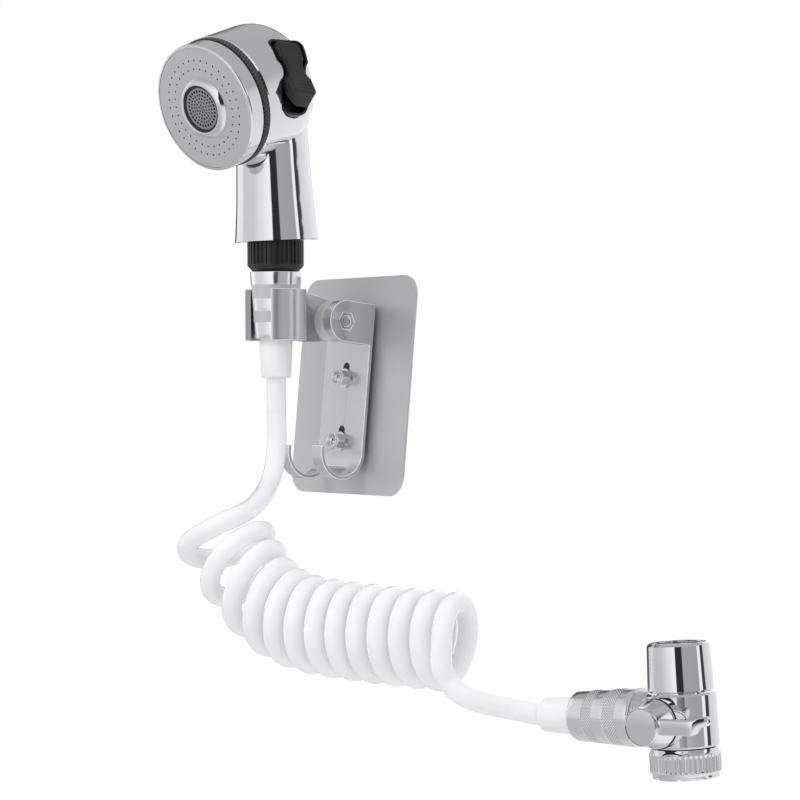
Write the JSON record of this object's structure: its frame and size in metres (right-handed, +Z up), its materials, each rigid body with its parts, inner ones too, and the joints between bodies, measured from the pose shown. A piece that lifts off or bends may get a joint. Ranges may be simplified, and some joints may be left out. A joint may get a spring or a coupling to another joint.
{
  "type": "handheld bath sprayer with coiled hose and wall holder",
  "caption": "Handheld spray head with two spray modes on a coiled hose, resting in a tilting clip on an adhesive wall plate with hooks, fed from a tap diverter with a lever.",
  "frame": {"origin": "centre of the back face of the adhesive pad, where it meets the wall", "axes": "+Z up, +Y into the wall, -Y towards the user, +X to the right as seen from the front"},
  "size_m": [0.3118, 0.1209, 0.318],
  "materials": {
    "pad_foam": "soft adhesive foam",
    "plate_steel": "brushed",
    "bracket_aluminium": "polished",
    "fastener_steel": "polished",
    "black_rubber": "matte",
    "nylon": "pale nylon",
    "plated_brass": "chrome plated brass",
    "plated_plastic": "chrome plated plastic",
    "brass": "machined",
    "hose_white": "glossy milky white",
    "sleeve_white": "satin white",
    "inner_plastic": "moulded",
    "black_plastic": "satin black",
    "face_steel": "satin",
    "aerator_grey": "dark grey"
  },
  "bodies": {
    "wall_fitting": {"adhesive_pad": "pad_foam", "wall_plate": "plate_steel", "plate_studs": "fastener_steel", "stand_off_rings": "black_rubber", "bracket": "bracket_aluminium", "stud_washers": "fastener_steel", "cap_nuts": "fastener_steel", "pivot_bolt": "fastener_steel", "pivot_nut": "fastener_steel", "pivot_spacer": "nylon", "friction_washer": "nylon", "hose_coil": "hose_white", "hose_run": "hose_white", "hose_foot": "hose_white", "sleeve_lower": "sleeve_white", "hose_nut_lower": "plated_brass", "hose_barb_lower": "brass", "nut_washer_lower": "black_rubber", "diverter_body": "plated_brass", "inlet_washer": "black_rubber", "snap_ring": "fastener_steel", "gland_nut": "brass", "stem_orings": "black_rubber", "lever_ring": "black_rubber", "outlet_ring": "plated_brass", "outlet_gasket": "black_rubber", "outlet_screen": "fastener_steel"},
    "holder": {"holder_clip": "bracket_aluminium", "hose_lead": "hose_white"},
    "hose_end": {"hose_nut_upper": "plated_brass", "nut_washer_upper": "black_rubber", "hose_barb_upper": "brass", "sleeve_upper": "sleeve_white", "hose_neck": "hose_white", "swivel_coupling": "black_plastic", "coupling_oring": "black_rubber", "retaining_ring": "fastener_steel"},
    "handset": {"head_shell": "plated_plastic", "water_core": "inner_plastic", "valve_body": "inner_plastic", "grip_ring": "black_plastic", "face_gasket": "black_rubber", "face_cap": "plated_plastic", "spray_plate": "face_steel", "aerator_ring": "plated_plastic", "aerator_housing": "aerator_grey", "aerator_screen": "aerator_grey", "rocker_housing": "black_plastic", "rocker_pin": "fastener_steel"},
    "rocker_switch": {"rocker": "black_plastic"},
    "plunger": {"mode_plunger": "brass"},
    "diverter_lever": {"lever": "plated_brass", "lever_screw": "fastener_steel", "lever_cap": "plated_brass", "valve_plug": "brass"},
    "inlet_swivel": {"inlet_nut": "plated_brass"}
  },
  "joints": [
    {"name": "holder_tilt", "type": "hinge", "parent": "wall_fitting", "child": "holder", "pos_m": [0.003, -0.0218, 0.0286], "axis": [1, 0, 0], "range_deg": [-15, 10], "deforming": ["hose_lead"]},
    {"name": "lift_out", "type": "slide", "parent": "holder", "child": "hose_end", "axis": [0, -0.1045, 0.9945], "range_m": [0, 0.045], "deforming": ["hose_neck"]},
    {"name": "handset_swivel", "type": "hinge", "parent": "hose_end", "child": "handset", "pos_m": [0.003, -0.05582, 0.04805], "axis": [0, -0.1045, 0.9945], "continuous": true},
    {"name": "rocker_tilt", "type": "hinge", "parent": "handset", "child": "rocker_switch", "pos_m": [0.02947, -0.07782, 0.13422], "axis": [-0.1219, 0.9871, 0.1037], "range_deg": [0, 25]},
    {"name": "plunger_slide", "type": "slide", "parent": "handset", "child": "plunger", "axis": [-0.2317, -0.1299, 0.9641], "range_m": [0, 0.004]},
    {"name": "lever_turn", "type": "hinge", "parent": "wall_fitting", "child": "diverter_lever", "pos_m": [0.24, -0.0175, -0.134], "axis": [0.1301, -0.986, -0.1041], "range_deg": [0, 90]},
    {"name": "inlet_turn", "type": "hinge", "parent": "wall_fitting", "child": "inlet_swivel", "pos_m": [0.23911, -0.01893, -0.12161], "axis": [-0.0716, -0.1141, 0.9909], "continuous": true}
  ],
  "couplings": [
    {"joint": "plunger_slide", "follows": "rocker_tilt", "m_per_rad": 0.0089784}
  ]
}
